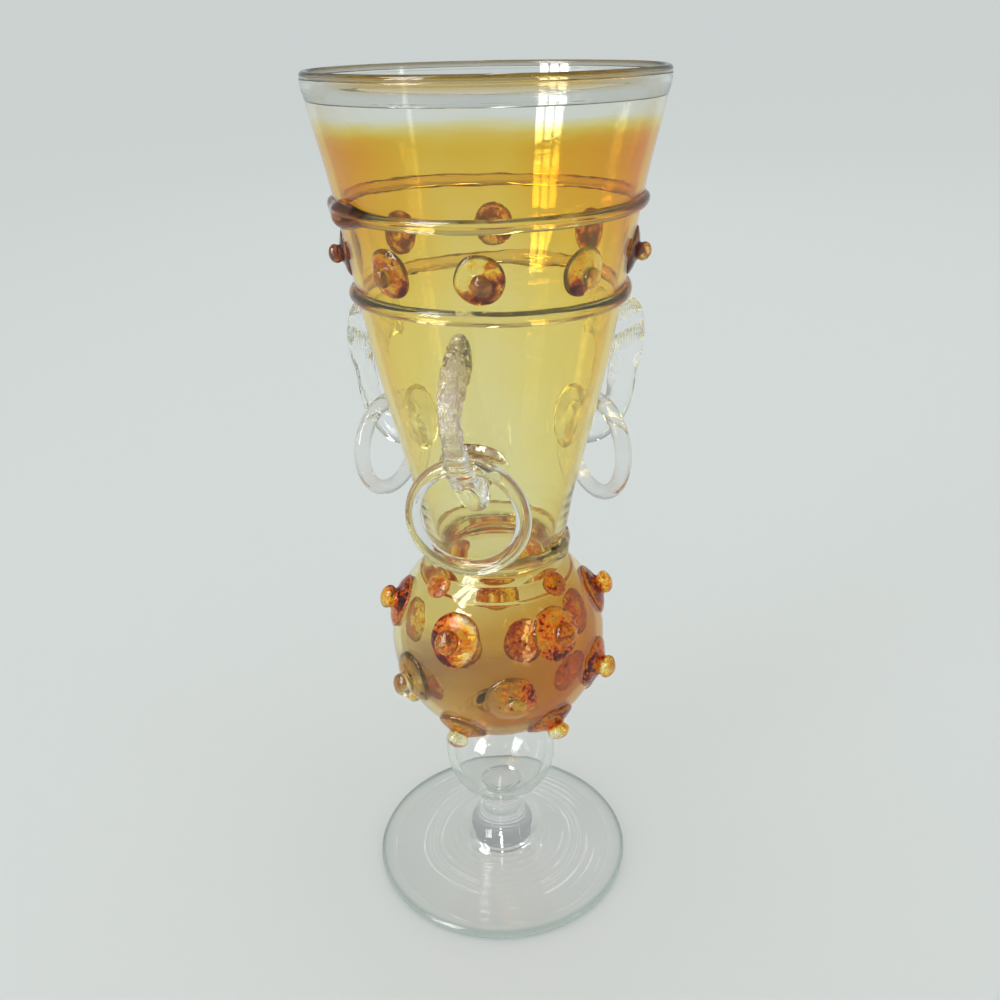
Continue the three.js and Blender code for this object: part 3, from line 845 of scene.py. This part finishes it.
def thread(name, middle, height, thickness, lump, bulge, finish):
    """A thread wound once round, thicker where its ends cross, with the end drawn down over the start."""
    section = smooth_line(THREAD_SHARES, 3)
    start = wall_length(middle)
    places = []
    for i in range(THREAD_COLUMNS):
        turn = TURN * i / THREAD_COLUMNS
        away = (turn - math.radians(lump) + math.pi) % TURN - math.pi
        crossing = math.exp(-((away / CROSSING_REACH) ** 2))
        swell = (1 + bulge * crossing) * (1 + 0.07 * round_noise(turn, 6, middle * 700 + 9))
        drift = THREAD_WAVE * math.sin(2 * turn + math.radians(lump)) \
            + THREAD_STRAY * round_noise(turn, 3, middle * 900)
        for up, off in [*section, (0, 0)]:
            along = drift + up * swell * height / 2
            groove = 1 - CROSSING_GROOVE * crossing * math.exp(-(((up - 0.15) / 0.2) ** 2))
            places.append((turn * np.interp(start + along, wall_lengths, wall[:, 0]), along,
                           off * swell * thickness * groove if off > 0 else -FUSED))
    piece = new_object(name, new_mesh(name, places, sheet_faces(THREAD_COLUMNS, len(section) + 1, True)))
    return facing_out(worked(piece, laid, Wall=wall_line, Middle=start, Finish=finish))


# Prunts: blobs pressed on to the wall, each with a nub pulled from its middle

# Outline of a blob: share of its radius out, and share of its radius up
BLOB_SHARES = [(1, 0), (0.99, 0.035), (0.95, 0.075), (0.87, 0.115), (0.78, 0.15), (0.68, 0.18), (0.58, 0.205),
               (0.48, 0.232), (0.395, 0.268), (0.352, 0.315), (0.358, 0.37), (0.383, 0.43), (0.392, 0.5),
               (0.375, 0.58), (0.332, 0.655), (0.262, 0.72), (0.17, 0.77), (0.08, 0.8), (0, 0.806)]
BLOB_COLUMNS = 72
# How uneven a blob's surface is, and how far its nub leans as a share of its radius
BLOB_UNEVEN = 0.22 * MM
NUB_LEAN = 0.3


def blob(name, azimuth, level, radius, tall, seed, finish, heat, side, slope):
    """One prunt, shaped flat and then laid on the wall. Its frit is hottest in colour towards side."""
    reach = BLOB_SHARES[-1][1] * radius
    line = smooth_line([(radius * away, radius * up) for away, up in BLOB_SHARES], 3)
    profile = [(radius * share, -FUSED) for share in (0.0, 0.35, 0.7, 1.0)] + line
    spot = Vector((seed * 7.3, seed * 3.1, seed * 5.7))
    lean = Vector((noise.noise(spot), noise.noise(spot + Vector((5, 0, 0))))) * radius * NUB_LEAN
    hot = Vector((math.cos(math.radians(side)), math.sin(math.radians(side))))
    places, flats, heats = [], [], []
    for i in range(BLOB_COLUMNS):
        turn = TURN * i / BLOB_COLUMNS
        edge = 1 + 0.06 * noise.noise(spot + Vector((math.cos(turn), math.sin(turn), 0)) * 1.2)
        for distance, height in profile:
            up = max(0, height / reach) ** 1.5
            at = Vector((math.cos(turn) * distance, math.sin(turn) * distance, height)) * 380
            uneven = BLOB_UNEVEN * noise.noise(spot + at) * min(1, max(0, height) / (0.2 * radius))
            x = math.sin(turn) * distance * edge + lean.x * up
            y = math.cos(turn) * distance * edge * tall + lean.y * up
            places.append((x, y, height + uneven))
            flats.append((x / radius + seed * 3.7, y / radius, height / radius + seed * 1.9))
            bead = min(1, max(0, (height / radius - 0.3) / 0.2))
            casing = max(0, distance / radius - 0.9) / 0.1
            heats.append(heat + slope * (x * hot.x + y * hot.y) / radius - 0.3 * bead - 0.45 * casing)
    mesh = new_mesh(name, places, sheet_faces(BLOB_COLUMNS, len(profile), False))
    mark(mesh, "blob_place", flats)
    mark(mesh, "blob_heat", heats)
    piece = new_object(name, mesh)
    return facing_out(worked(piece, laid, Wall=wall_line, Azimuth=math.radians(azimuth),
                             Middle=wall_length(level), Finish=finish))


BOWL_PRUNT_LEVEL = bowl_bottom + BOWL_HEIGHT * 0.6643
# Each prunt: azimuth, heat of its frit, the side that is hottest, and by how much
BOWL_PRUNTS = [(-4, -0.1, -40, 0.42), (36.5, -0.12, -130, 0.45), (81, 0.35, 0, 0), (127, 0.25, 0, 0),
               (178, 0.3, 0, 0), (-134, 0.25, 0, 0), (-88, 0.35, 0, 0), (-40.5, -0.1, -80, 0.35)]
# Rows on the bulb: name, radius of a prunt, how tall it is for its width, latitude, and the prunts
BULB_ROWS = [
    ("shoulder_prunt", 5.2 * MM, 0.85, 47,
     [(-50, 0.12, 0, 0.2), (49, 0.25, 0, 0.1), (139, 0.2, 0, 0), (-130, 0.2, 0, 0)]),
    ("upper_prunt", 9.1 * MM, 1.08, 24,
     [(-25, 0.13, 195, 0.42), (34, 0.2, -60, 0.2), (92, 0.3, 90, 0.2), (155, 0.15, 0, 0.1),
      (-145, 0.15, 180, 0.1), (-83, 0.3, 60, 0.3)]),
    ("middle_prunt", 9.1 * MM, 1.08, -7,
     [(-53, -0.3, -130, 0.2), (6, -0.05, 20, 0.5), (64.5, 0.22, 180, 0.25), (121, 0.1, 0, 0.1),
      (180, 0.1, 0, 0.2), (-114, 0.0, 0, 0.2)]),
    ("lower_prunt", 9.1 * MM, 1.08, -39,
     [(-27.5, -0.14, -90, 0.2), (38, 0.05, 60, 0.3), (98, 0.1, 0, 0.2), (158, 0.1, 0, 0.2), (-148, 0.0, 0, 0.2),
      (-88, 0.05, 0, 0.2)]),
]


def prunts():
    for i, (azimuth, *frit) in enumerate(BOWL_PRUNTS, 1):
        node = f"bowl_prunt_{i}"
        dress(blob(node + "_glass", azimuth, BOWL_PRUNT_LEVEL, 7.3 * MM, 1.03, i, FLOWED, *frit), "frit_glass",
              "vessel", node)
    seed = 20
    for row, radius, tall, at, places in BULB_ROWS:
        level = bulb_centre + BULB_RADIUS * math.sin(math.radians(at))
        for i, (azimuth, *frit) in enumerate(places, 1):
            seed += 1
            node = f"{row}_{i}"
            dress(blob(node + "_glass", azimuth, level, radius, tall, seed, FRIT, *frit), "frit_glass",
                  "vessel", node)


# Handles and their loose rings

HANDLE_RISE = 56.7 * MM
STRAP_ROOT = 12.7 * MM
FIN_FOOT = 15.5 * MM
GATHER_RISE = 11.6 * MM
GATHER_RADIUS = 9.6 * MM
STRAP_OUT_SHARE = 0.86
RING_PLAY = 1.9 * MM

# Handles: azimuth, level of the top, how far it stands off the wall, its strap's width, its ring's tube
HANDLES = {
    "front": (-11.5, 231.5 * MM, 26.3 * MM, 8.0 * MM, 5.0 * MM),
    "right": (117.5, 229.5 * MM, 28.8 * MM, 10.4 * MM, 5.8 * MM),
    "left": (-122.0, 229.5 * MM, 27.6 * MM, 6.4 * MM, 5.6 * MM),
}
RING_STEPS = 144
# Up a handle, by share of its rise: its thickness and its sideways sway, in millimetres
FRONT_STRAP = [(0, 8.0, 4.2), (0.1, 8.0, 3.4), (0.2, 8.0, 1.4), (0.28, 8.4, 0.0), (0.35, 8.6, -0.5),
               (0.39, 7.0, -0.9), (0.45, 6.0, -1.4), (0.53, 5.8, -1.8), (0.61, 5.5, -2.1), (0.69, 5.9, -1.9),
               (0.75, 6.4, -1.5), (0.81, 6.7, -1.0), (0.86, 6.4, -0.9), (0.91, 5.8, -1.3), (0.94, 4.8, -2.1),
               (0.97, 3.6, -3.2), (1, 2.8, -3.8)]
SIDE_STRAP = [(0, 8.0, 0), (0.3, 8.0, 0), (0.5, 7.2, 0.3), (0.7, 6.3, 0.4), (0.85, 5.6, 0), (1, 4.4, -0.3)]
# Outer edge: round the bend by share of reach and of the root's depth, then by share of reach and of the rise
BEND_SHARES = [(0.02, 0.1), (0.2, 0), (0.42, 0.05), (0.62, 0.335), (0.78, 0.87), (0.86, 1.43)]
FIN_SHARES = [(0.9, 0.45), (0.97, 0.55), (1, 0.67), (0.97, 0.8), (0.86, 0.89), (0.62, 0.955), (0.4, 1)]
# Inner edge: angles round the ring's cradle, then shares of the way out to the strap and up to the fin
CRADLE_ANGLES = (-165, -140, -115, -80, -40, 0)
LOOP_SHARES = [(1, 0.32), (1.05, 0.48), (1.07, 0.6), (0.98, 0.75), (0.7, 0.88), (0.35, 0.96), (0.12, 0.99)]
# The gather at a handle's root: heights off the wall in millimetres, and shares of its size
GATHER_STEPS = [(-1.5, 0.98), (0.3, 1.0), (1.5, 0.97), (2.9, 0.86), (3.9, 0.68), (4.5, 0.45), (4.8, 0.2)]
FRONT_GATHER = (11.2 * MM, 7.8 * MM)
SIDE_GATHER = (GATHER_RADIUS, GATHER_RADIUS * 1.22)
STRAP_SIDES = 28
GATHER_SIDES = 40
# Fineness of a handle's mesh, and how often it is smoothed
VOXEL = 0.28 * MM
SMOOTHINGS = 30
# Depths of the tool marks: dents in the front strap, the fold above its gather, and the comb's teeth
DENT_DEPTH = 0.6 * MM
FOLD_DEPTH = 0.3 * MM
FOLD_RISE = 0.335
TOOTH_DEPTH = 0.26 * MM
# The comb's two rows on a side fin: distance below its top, and slope
COMB_ROWS = [(9.6 * MM, 0.2), (20.6 * MM, 0.31)]


def loft(sections):
    """A closed mesh through sections of points, capped at both ends."""
    size = len(sections[0])
    places = [tuple(p) for section in sections for p in section]
    faces = [list(range(size))[::-1], [len(places) - size + i for i in range(size)]]
    for i in range(len(sections) - 1):
        for j in range(size):
            k = (j + 1) % size
            faces.append((i * size + j, i * size + k, (i + 1) * size + k, (i + 1) * size + j))
    return places, faces


def handle_lines(name):
    """Inner and outer edge of a handle seen from its side: distances from the axis, and levels."""
    _, top, reach, strap, tube = HANDLES[name]
    bottom = top - HANDLE_RISE
    seat = bottom + STRAP_ROOT
    fin_bottom = top - FIN_FOOT
    wall_at = float(wall_radius(bottom + GATHER_RISE))
    fin_wall = float(wall_radius(fin_bottom))
    strap_inner = wall_at + reach * STRAP_OUT_SHARE - strap
    cradle = tube / 2 + RING_PLAY
    outer = [(wall_at + reach * x, lerp(bottom, seat, z)) for x, z in BEND_SHARES]
    outer += [(wall_at + reach * x, lerp(bottom, top, z)) for x, z in FIN_SHARES]
    outer += [(float(wall_radius(top)) - 1.5 * MM, top - 1.2 * MM)]
    inner = [(strap_inner - cradle + cradle * math.cos(math.radians(a)),
              seat + cradle + cradle * math.sin(math.radians(a))) for a in CRADLE_ANGLES]
    inner += [(lerp(fin_wall, strap_inner, x), lerp(seat, fin_bottom, z)) for x, z in LOOP_SHARES]
    inner += [(fin_wall - 2.5 * MM, fin_bottom)]
    return inner, outer


def strap_sections(name, bottom, outward, sideways):
    """Rounded sections of a strap, from its root round the ring's cradle and up to its fin."""
    rises, thicknesses, sways = zip(*(FRONT_STRAP if name == "front" else SIDE_STRAP))
    inner, outer = handle_lines(name)
    sections = []
    for (x0, z0), (x1, z1) in zip(smooth_line(inner, 5), smooth_line(outer, 5)):
        middle = Vector(((x0 + x1) / 2, (z0 + z1) / 2))
        half = Vector((x1 - x0, z1 - z0)) / 2
        rise = min(1, max(0, (middle.y - bottom) / HANDLE_RISE))
        thick = np.interp(rise, rises, thicknesses) * MM / 2
        sway = np.interp(rise, rises, sways) * MM
        section = []
        for i in range(STRAP_SIDES):
            turn = TURN * i / STRAP_SIDES
            across, off = (math.copysign(abs(part) ** 0.8, part) for part in (math.cos(turn), math.sin(turn)))
            spot = middle + half * across
            section.append(outward * spot.x + sideways * (sway + thick * off) + UP * spot.y)
        sections.append(section)
    return sections


def gather_sections(name, bottom, outward, sideways):
    """Sections of the gather that was pressed on to the wall for a handle, from the wall outward."""
    level = bottom + GATHER_RISE
    wide, tall = FRONT_GATHER if name == "front" else SIDE_GATHER
    sections = []
    for height, share in GATHER_STEPS:
        section = []
        for i in range(GATHER_SIDES):
            turn = TURN * i / GATHER_SIDES
            z = level + tall * share * math.sin(turn)
            off = wall_radius(z) + height * MM
            section.append(outward * off + sideways * (wide * share * math.cos(turn)) + UP * z)
        sections.append(section)
    return sections


def melted(piece):
    """Melts a piece's parts into one skin."""
    shape = bmesh.new()
    shape.from_mesh(piece.data)
    bmesh.ops.recalc_face_normals(shape, faces=shape.faces)
    shape.to_mesh(piece.data)
    shape.free()
    remesh = piece.modifiers.new("remesh", "REMESH")
    remesh.mode, remesh.voxel_size, remesh.use_smooth_shade = "VOXEL", VOXEL, True
    smooth = piece.modifiers.new("smooth", "CORRECTIVE_SMOOTH")
    smooth.factor, smooth.iterations, smooth.use_only_smooth = 0.5, SMOOTHINGS, True
    return made_plain(piece)


def clipped(values, low, reach):
    """0 up to low, and 1 from reach beyond it."""
    return np.clip((values - low) / reach, 0, 1)


def tooled(piece, name, bottom, outward, sideways):
    """Presses the tools' marks into a handle, and marks where its glass is dimpled, corded, combed or smoky."""
    _, top, reach, *_ = HANDLES[name]
    mesh = piece.data

    def measured():
        rise = (places[:, 2] - bottom) / HANDLE_RISE
        along = places @ np.array(outward)
        return rise, along, along - wall_radius(places[:, 2]), np.hypot(places[:, 0], places[:, 1])

    places = of_points(mesh)
    rise, along, off, radius = measured()
    dimples, cords, comb, smoke = np.zeros((4, len(places)))
    if name == "front":
        dents = np.array([noise.noise(Vector(p) * 480) + 0.7 * noise.noise(Vector(p) * 1000) for p in places])
        share = clipped(rise, 0.36, 0.06) * clipped(radius, wall_radius(places[:, 2]), 4 * MM)
        outside = radius > wall_radius(bottom + GATHER_RISE) + reach * 0.55
        fold = np.cos(TURN * (rise - FOLD_RISE) / 0.055) * (abs(rise - FOLD_RISE) < 0.08) * outside
        raised = dents * share * DENT_DEPTH + fold * FOLD_DEPTH
    else:
        for below, slope in COMB_ROWS:
            row = places[:, 2] - (top - below) - slope * (along - 50 * MM)
            comb += np.clip(2.2 - abs(row) / (1.2 * MM), 0, 1) * (off > 3 * MM)
        raised = comb * np.sin(TURN * along / COMB_PERIOD) * TOOTH_DEPTH
    places = places + of_points(mesh, "normal") * raised[:, None]
    # Whatever lies inside the wall is drawn out to its face
    face = wall_radius(places[:, 2]) - FUSED
    radius = np.hypot(places[:, 0], places[:, 1])
    places[:, :2] *= np.where(radius < face, face / radius, 1)[:, None]
    mesh.vertices.foreach_set("co", places.astype(np.float32).ravel())
    mesh.update()
    rise, along, off, radius = measured()
    if name == "front":
        dimples = clipped(rise, 0.3, 0.12) * clipped(off, 0, 6 * MM)
        smoke = clipped(places[:, 2], bottom + GATHER_RISE + 2 * MM, 3 * MM) * (off < 5 * MM) * (rise < 0.4)
        smoke += 0.6 * dimples
    else:
        cords = clipped(rise, 0.25, 0.2) * clipped(off, 0, 6 * MM)
    mark(mesh, "handle_place", np.stack([along, places @ np.array(sideways), places[:, 2]], axis=1))
    mark(mesh, "handle_dimples", dimples)
    mark(mesh, "handle_cords", cords)
    mark(mesh, "handle_comb", comb)
    mark(mesh, "handle_smoke", smoke)
    return piece


def handle(name):
    """A handle: a strap drawn out from its gather, round the ring's cradle and up to its pinched fin."""
    azimuth, top, *_ = HANDLES[name]
    stand = (name, top - HANDLE_RISE, *facing(azimuth))
    places, faces = loft(strap_sections(*stand))
    more_places, more_faces = loft(gather_sections(*stand))
    faces += [[i + len(places) for i in face] for face in more_faces]
    piece = new_object(f"handle_{name}_glass", new_mesh(f"handle_{name}", places + more_places, faces))
    mesh = tooled(melted(piece), *stand).data
    mesh.materials.clear()
    mesh.materials.append(WORKED)
    mesh.shade_smooth()
    return facing_out(piece)


def ring(side, thickness, seed):
    """A closed ring of drawn glass, hanging from its joint."""
    joint = next(j for j in frame["joints"] if j["name"] == f"{side}_ring_swing")
    top, sideways = Vector(joint["pos_m"]), Vector(joint["axis"])
    low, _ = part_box(f"ring_{side}")
    radius = (top.z - low.z - thickness / 2) / 2
    path = []
    for i in range(RING_STEPS):
        turn = TURN * i / RING_STEPS
        path.append(top + (sideways * math.sin(turn) + UP * (math.cos(turn) - 1)) * radius)
    piece = new_object(f"ring_{side}_glass", point_line(path, closed=True))
    return facing_out(worked(piece, drawn, Thickness=thickness, Unevenness=0.05, Seed=seed, Finish=DRAWN))


# Camera

CAMERA_PLACE = (0, -0.3234, 0.3108)
CAMERA_ANGLES = (0.0051, -0.4395, -0.0196)
LENS = 36.36
SENSOR = 36


def camera():
    """The photograph's view: a hand-held camera about a chalice's height away, looking down."""
    yaw, pitch, roll = CAMERA_ANGLES
    ahead = Vector((math.sin(yaw) * math.cos(pitch), math.cos(yaw) * math.cos(pitch), math.sin(pitch)))
    level_right = Vector((math.cos(yaw), -math.sin(yaw), 0))
    level_up = level_right.cross(ahead)
    right = level_right * math.cos(roll) + level_up * math.sin(roll)
    up = level_up * math.cos(roll) - level_right * math.sin(roll)
    data = bpy.data.cameras.new("camera")
    data.lens, data.sensor_width = LENS, SENSOR
    data.clip_start, data.clip_end = 0.01, 100
    view = new_object("camera", data)
    turn = Matrix((right, up, -ahead)).transposed()
    view.matrix_world = Matrix.Translation(CAMERA_PLACE) @ turn.to_4x4()
    bpy.context.scene.camera = view


# Floor and light

FLOOR_COLOUR = (0.645, 0.69, 0.678)
FLOOR_RADIUS = 12
# Where the lamps aim, and the window at the front left: azimuth, distance and pane sizes
AIM = UP * 0.15
WINDOW_AZIMUTH = -50
WINDOW_DISTANCE = 1.6
PANE_WIDTH, PANE_HEIGHT = 0.17, 0.34
PANE_PITCH, PANE_RISE = 0.22, 0.38
WINDOW_MIDDLE = 0.77


def floor():
    edge = [(*(facing(360 * i / 64)[0] * FLOOR_RADIUS)[:2], 0) for i in range(64)]
    mesh = new_mesh("floor", edge, [list(range(64))])
    material = bpy.data.materials.new("pale floor")
    material.use_nodes = True
    body = material.node_tree.nodes["Principled BSDF"]
    body.inputs["Base Color"].default_value = (*FLOOR_COLOUR, 1)
    body.inputs["Roughness"].default_value = 0.9
    body.inputs["Specular IOR Level"].default_value = 0.0
    mesh.materials.append(material)
    new_object("floor", mesh)


def panel(name, azimuth, elevation, distance, width, height, radiance):
    """A soft rectangular lamp that faces the chalice, and that the camera doesn't see."""
    lamp = bpy.data.lights.new(name, "AREA")
    lamp.shape, lamp.size, lamp.size_y = "RECTANGLE", width, height
    lamp.energy = radiance * math.pi * width * height
    piece = new_object(name, lamp)
    e = math.radians(elevation)
    away = facing(azimuth)[0] * math.cos(e) + UP * math.sin(e)
    piece.location = AIM + away * distance
    piece.rotation_mode = "QUATERNION"
    piece.rotation_quaternion = away.to_track_quat("Z", "Y")
    piece.visible_camera = False
    return piece


def window():
    """A tall window of panes: bright in the glass, with one soft lamp in its place for the floor."""
    outward, across = facing(WINDOW_AZIMUTH)
    for i in (-1, 0, 1):
        for j in range(4):
            pane = panel(f"pane_{i + 1}_{j}", WINDOW_AZIMUTH, 0, WINDOW_DISTANCE, PANE_WIDTH, PANE_HEIGHT, 14.0)
            pane.location = outward * WINDOW_DISTANCE + across * (PANE_PITCH * i) + UP * (0.2 + PANE_RISE * j)
            pane.visible_diffuse = False
    for name, azimuth in (("high_pane_left", -74), ("high_pane_right", -59)):
        panel(name, azimuth, 55, WINDOW_DISTANCE, 0.2, 0.75, 13.0).visible_diffuse = False
    soft = panel("window_light", WINDOW_AZIMUTH, 0, WINDOW_DISTANCE, 0.64, 1.5, 2.03)
    soft.data.spread = math.radians(100)
    soft.location = outward * WINDOW_DISTANCE + UP * WINDOW_MIDDLE
    soft.visible_glossy = soft.visible_transmission = False


def sky():
    """Even light from all round, which glass sees as pale at the horizon and grey overhead."""
    world = bpy.data.worlds.new("studio")
    bpy.context.scene.world = world
    world.use_nodes = True
    tree = world.node_tree
    tree.nodes.clear()
    seen = ramp(result(tree, "ShaderNodeTexCoord", name="Generated")[2], [
        (0.0, (0.6, 0.642, 0.632)),
        (0.1, (0.6, 0.64, 0.63)),
        (0.35, (0.45, 0.472, 0.47)),
        (0.8, (0.39, 0.412, 0.41)),
    ])
    path = add(tree, "ShaderNodeLightPath")
    glossy = out(tree, path, "Is Glossy Ray")
    eye = out(tree, path, "Is Camera Ray").op("MAXIMUM", glossy)
    eye = eye.op("MAXIMUM", out(tree, path, "Is Transmission Ray"))
    dimmed = blend(glossy, seen, (0.8, 0.8, 0.8, 1), "MULTIPLY")
    colour = blend(eye, (0.93, 0.93, 0.93, 1), dimmed)
    background = result(tree, "ShaderNodeBackground", {"Color": colour, "Strength": 1.0})
    add(tree, "ShaderNodeOutputWorld", {"Surface": background})


def light():
    window()
    # Azimuth, elevation, distance, width, height and radiance
    panel("right_strip", 62, 20, 2.0, 0.1, 1.2, 2.5)
    panel("back_strip", 178, 52, 2.0, 0.07, 1.9, 3.5)
    sky()


camera()
floor()
light()
dress(foot(), "clear_glass", "vessel", "foot")
dress(ball(), "clear_glass", "vessel", "ball_knop")
dress(bulb(), "straw_glass", "vessel", "bulb")
dress(bowl(), "amber_glass", "vessel", "bowl")
dress(rim_band(), "clear_glass", "vessel", "rim_band")
# Threads: middle, height, thickness, azimuth of the lump, how much it swells, and the glass
for thread_name, *sizes in (
        ("waist_trail", WAIST_TRAIL, 6.2 * MM, 2.6 * MM, 66, 0.35, WAIST),
        ("lower_trail", LOWER_TRAIL, 4.6 * MM, 2.4 * MM, 158, 0.35, TRAIL),
        ("upper_trail", UPPER_TRAIL, 4.1 * MM, 2.1 * MM, -60, 1.1, TRAIL)):
    dress(thread(f"{thread_name}_glass", *sizes), "trail_glass", "vessel", thread_name)
prunts()
for ring_seed, (side_name, (*_, ring_tube)) in enumerate(HANDLES.items(), 1):
    dress(handle(side_name), "clear_glass", "vessel", f"handle_{side_name}")
    dress(ring(side_name, ring_tube, ring_seed), "clear_glass", f"{side_name}_ring", f"ring_{side_name}")
bpy.data.objects.remove(wall_line)

scene = bpy.context.scene
scene.view_settings.view_transform = "Standard"
scene.cycles.max_bounces = 24
scene.cycles.transmission_bounces = 24
scene.cycles.glossy_bounces = 12
scene.cycles.diffuse_bounces = 2
scene.cycles.transparent_max_bounces = 48
scene.cycles.caustics_reflective = False
scene.cycles.caustics_refractive = False
scene.cycles.use_denoising = True
